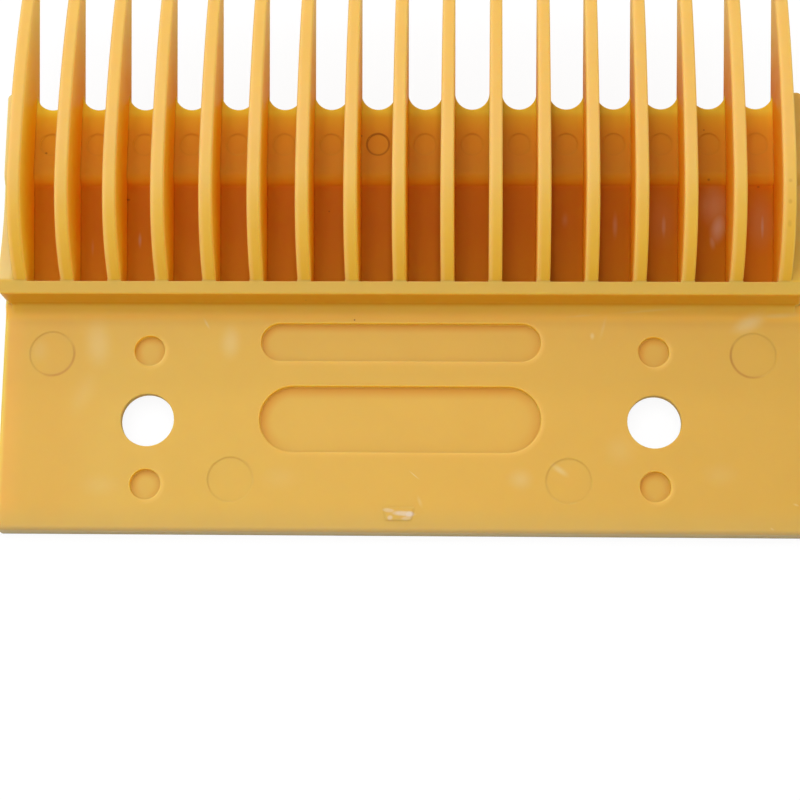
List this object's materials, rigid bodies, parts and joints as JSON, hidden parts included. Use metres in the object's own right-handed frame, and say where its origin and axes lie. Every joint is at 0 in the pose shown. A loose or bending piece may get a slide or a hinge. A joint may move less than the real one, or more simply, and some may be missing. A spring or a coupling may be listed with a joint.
{
  "type": "escalator comb plate",
  "caption": "Moulded plastic escalator comb segment with ribbed teeth, a cross bar and a screw flange, lying underside up.",
  "frame": {"origin": "midway between the two screw holes, on the seating face of the flange", "axes": "+Z out of the seating face, along the screws, so the underside of the comb is up and its walking face is down; +Y from the flange towards the tooth tips; X across the steps"},
  "size_m": [0.154, 0.1074, 0.0238],
  "materials": {
    "comb_plastic": "smooth moulded yellow plastic, slightly translucent"
  },
  "bodies": {
    "root": {"comb_plate": "comb_plastic"}
  },
  "joints": []
}
